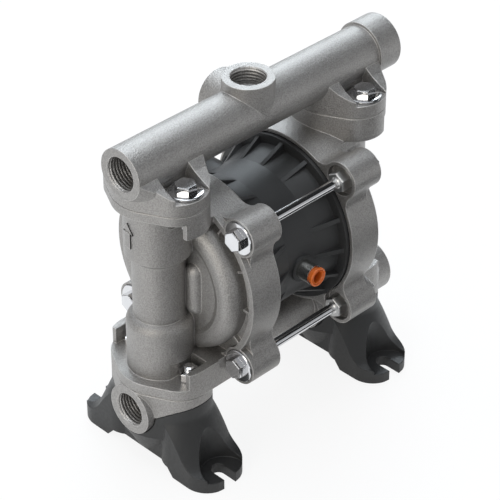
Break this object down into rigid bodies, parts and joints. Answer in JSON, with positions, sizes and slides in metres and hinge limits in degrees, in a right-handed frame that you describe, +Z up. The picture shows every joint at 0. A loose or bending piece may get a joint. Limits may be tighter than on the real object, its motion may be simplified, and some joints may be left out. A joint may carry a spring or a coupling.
{
  "type": "air operated diaphragm pump",
  "caption": "Compact air driven double diaphragm pump: cast fluid caps and manifolds round a moulded air housing, on slotted feet, with threaded liquid ports.",
  "frame": {"origin": "middle of the four foot slots, on the mounting surface", "axes": "+X along the pump shaft towards the right fluid cap, -Y towards the air inlet, +Z up"},
  "size_m": [0.1839, 0.1111, 0.1975],
  "materials": {
    "cast_aluminium": "as cast, bead blasted",
    "moulded_black": "satin moulding",
    "painted_black": "matt powder coat",
    "bright_steel": "bright plated",
    "shaft_steel": "ground",
    "plate_aluminium": "turned",
    "nickel_plate": "nickel plated",
    "bronze": "sintered",
    "rubber": "moulded",
    "white_polymer": "turned",
    "collet_orange": "moulded"
  },
  "bodies": {
    "pump": {"right_fluid_cap": "cast_aluminium", "left_fluid_cap": "cast_aluminium", "outlet_manifold": "cast_aluminium", "inlet_manifold": "cast_aluminium", "centre_housing": "moulded_black", "left_foot": "painted_black", "right_foot": "painted_black", "left_shaft_bush": "bronze", "right_shaft_bush": "bronze", "valve_sleeve": "bronze", "valve_end_cap": "moulded_black", "air_inlet_fitting": "nickel_plate", "exhaust_muffler": "bronze", "left_inlet_seat": "white_polymer", "left_outlet_seat": "white_polymer", "outlet_bolt_left_front": "bright_steel", "outlet_nut_left_front": "bright_steel", "inlet_bolt_left_front": "bright_steel", "inlet_nut_left_front": "bright_steel", "left_cap_bolt_front_lower": "bright_steel", "left_cap_bolt_front_upper": "bright_steel", "outlet_bolt_left_rear": "bright_steel", "outlet_nut_left_rear": "bright_steel", "inlet_bolt_left_rear": "bright_steel", "inlet_nut_left_rear": "bright_steel", "left_cap_bolt_rear_lower": "bright_steel", "left_cap_bolt_rear_upper": "bright_steel", "right_inlet_seat": "white_polymer", "right_outlet_seat": "white_polymer", "outlet_bolt_right_front": "bright_steel", "outlet_nut_right_front": "bright_steel", "inlet_bolt_right_front": "bright_steel", "inlet_nut_right_front": "bright_steel", "right_cap_bolt_front_lower": "bright_steel", "right_cap_bolt_front_upper": "bright_steel", "outlet_bolt_right_rear": "bright_steel", "outlet_nut_right_rear": "bright_steel", "inlet_bolt_right_rear": "bright_steel", "inlet_nut_right_rear": "bright_steel", "right_cap_bolt_rear_lower": "bright_steel", "right_cap_bolt_rear_upper": "bright_steel", "tie_rod_front_lower": "bright_steel", "tie_rod_front_upper": "bright_steel", "tie_rod_rear_lower": "bright_steel", "tie_rod_rear_upper": "bright_steel"},
    "shaft": {"diaphragm_shaft": "shaft_steel", "left_inner_plate": "plate_aluminium", "left_outer_plate": "shaft_steel", "left_diaphragm": "rubber", "right_inner_plate": "plate_aluminium", "right_outer_plate": "shaft_steel", "right_diaphragm": "rubber"},
    "pilot": {"pilot_rod": "shaft_steel"},
    "spool": {"valve_spool": "shaft_steel"},
    "collet": {"release_collet": "collet_orange"},
    "left_inlet_ball": {"left_inlet_ball": "white_polymer"},
    "left_outlet_ball": {"left_outlet_ball": "white_polymer"},
    "right_inlet_ball": {"right_inlet_ball": "white_polymer"},
    "right_outlet_ball": {"right_outlet_ball": "white_polymer"}
  },
  "joints": [
    {"name": "shaft_slide", "type": "slide", "parent": "pump", "child": "shaft", "axis": [1, 0, 0], "range_m": [-0.006, 0.006], "deforming": ["left_diaphragm", "right_diaphragm"]},
    {"name": "pilot_slide", "type": "slide", "parent": "pump", "child": "pilot", "axis": [1, 0, 0], "range_m": [-0.0024, 0.0024]},
    {"name": "spool_slide", "type": "slide", "parent": "pump", "child": "spool", "axis": [0, 1, 0], "range_m": [0, 0.007]},
    {"name": "collet_press", "type": "slide", "parent": "pump", "child": "collet", "axis": [0, 1, 0], "range_m": [0, 0.0012], "stiffness_N_per_m": 400},
    {"name": "left_inlet_ball_lift", "type": "slide", "parent": "pump", "child": "left_inlet_ball", "axis": [0, 0, 1], "range_m": [0, 0.006]},
    {"name": "left_outlet_ball_lift", "type": "slide", "parent": "pump", "child": "left_outlet_ball", "axis": [0, 0, 1], "range_m": [0, 0.006]},
    {"name": "right_inlet_ball_lift", "type": "slide", "parent": "pump", "child": "right_inlet_ball", "axis": [0, 0, 1], "range_m": [0, 0.006]},
    {"name": "right_outlet_ball_lift", "type": "slide", "parent": "pump", "child": "right_outlet_ball", "axis": [0, 0, 1], "range_m": [0, 0.006]}
  ],
  "couplings": [
    {"joint": "pilot_slide", "follows": "shaft_slide", "ratio": 0.4}
  ]
}
